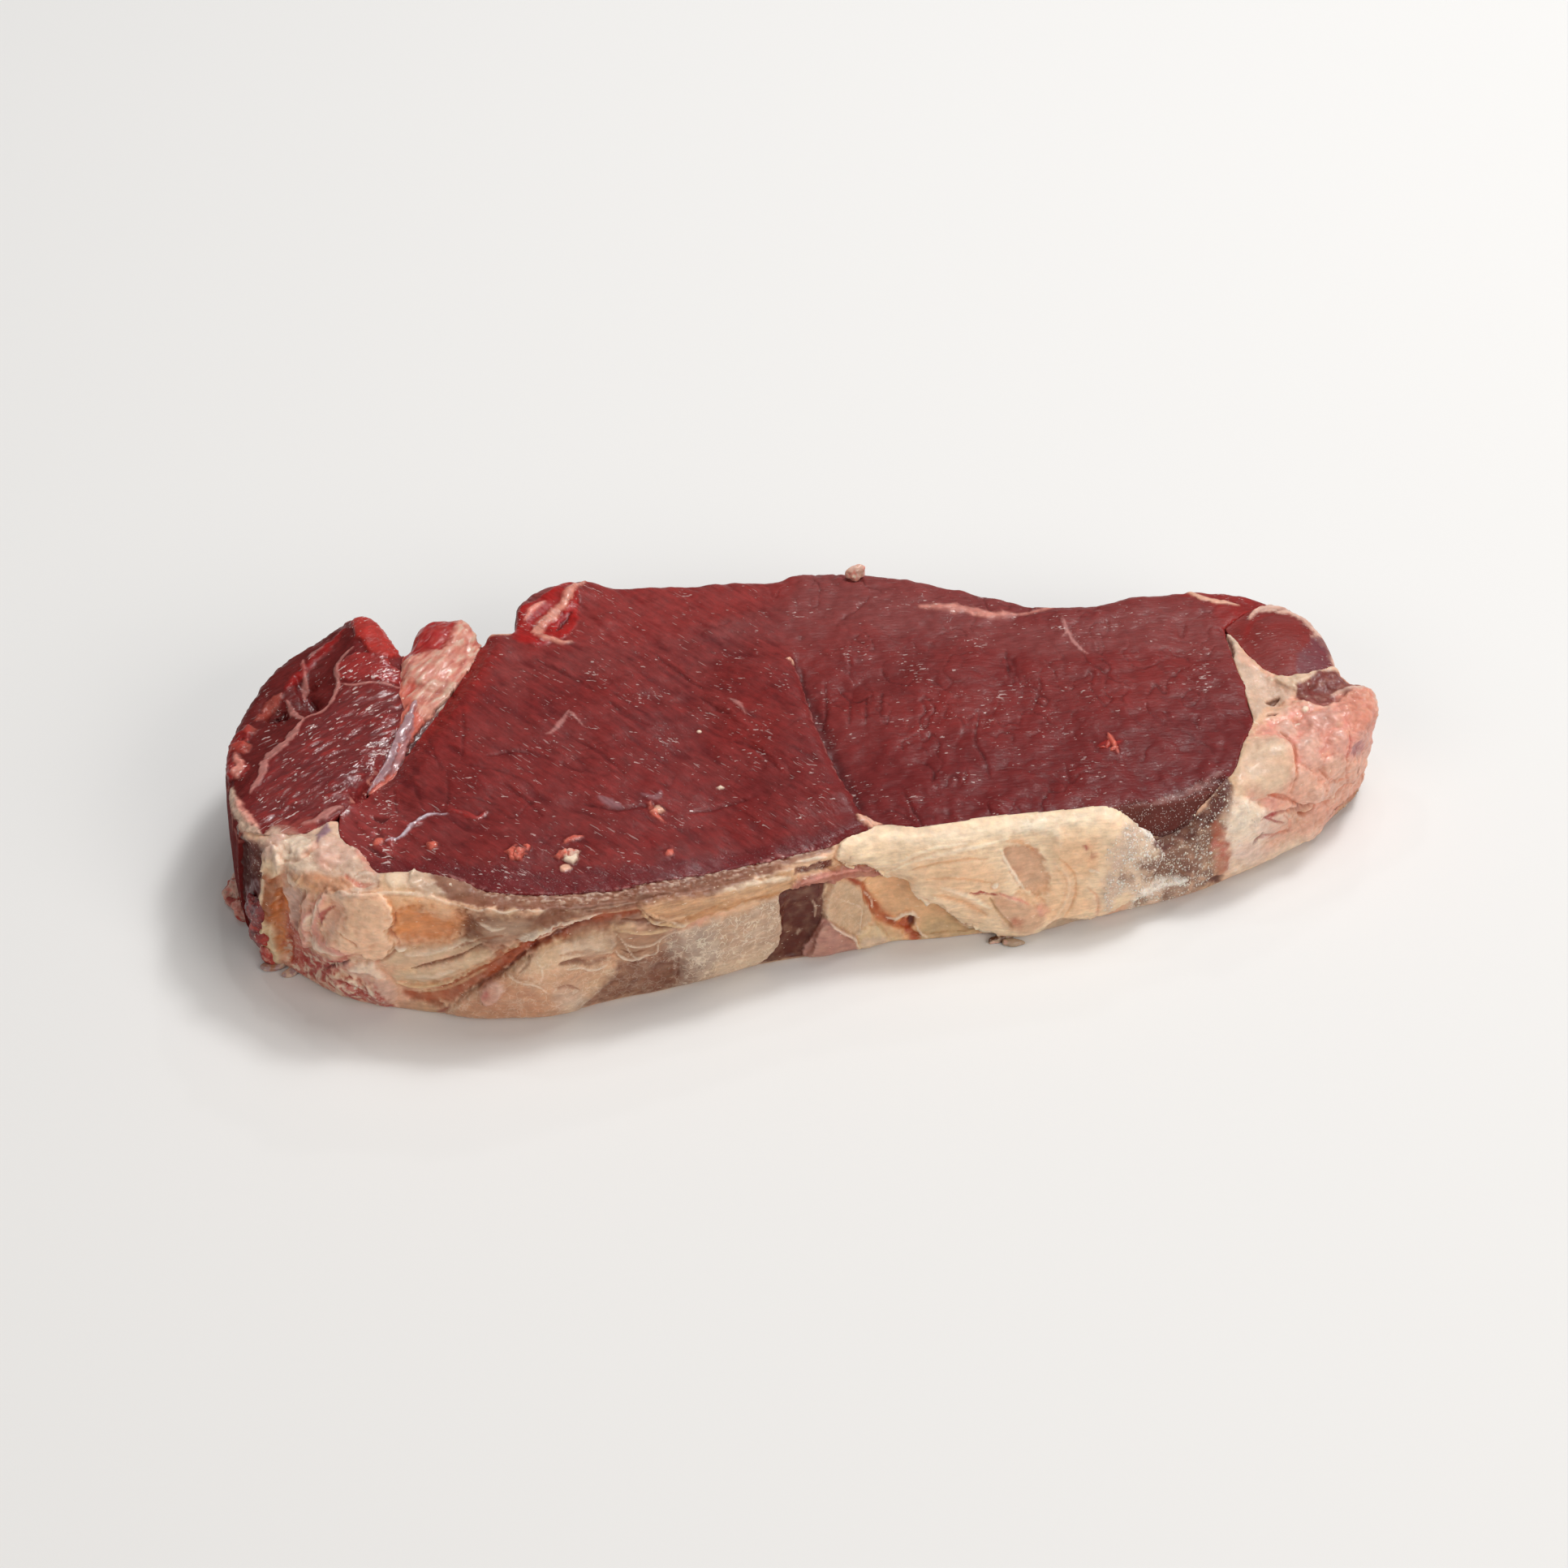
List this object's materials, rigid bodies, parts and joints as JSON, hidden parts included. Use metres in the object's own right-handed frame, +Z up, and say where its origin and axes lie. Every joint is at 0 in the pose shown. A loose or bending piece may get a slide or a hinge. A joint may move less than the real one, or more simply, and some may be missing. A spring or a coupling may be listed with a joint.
{
  "type": "raw beef striploin steak",
  "caption": "Thick raw steak lying flat: dark red eye muscle, side muscle and end muscle, pale fat seam, and a cream fat cap along the front and one end.",
  "frame": {"origin": "centre of the bounding box in plan, on the flat lower face", "axes": "+X along the steak from the side muscle to the end muscle, +Y from the fat cap to the back edge, +Z up through the thickness"},
  "size_m": [0.2362, 0.1046, 0.0307],
  "materials": {
    "lean_eye": "moist raw lean beef, dark red, fine diagonal grain, slightly dried along the front rim",
    "side_muscle": "wet raw lean beef, dark red, coarse grain with small bright glints and a pale sheath",
    "seam_fat": "soft pink and white fat with red meat at the back and a grey lilac membrane",
    "end_muscle": "smooth raw lean beef with a pale membrane rim",
    "fat_cap": "cream hard fat with pink lobes, amber and grey translucent membranes and brown dried patches"
  },
  "bodies": {
    "root": {"lean_eye": "lean_eye", "side_muscle": "side_muscle", "seam_fat": "seam_fat", "end_muscle": "end_muscle", "fat_cap": "fat_cap"}
  },
  "joints": []
}
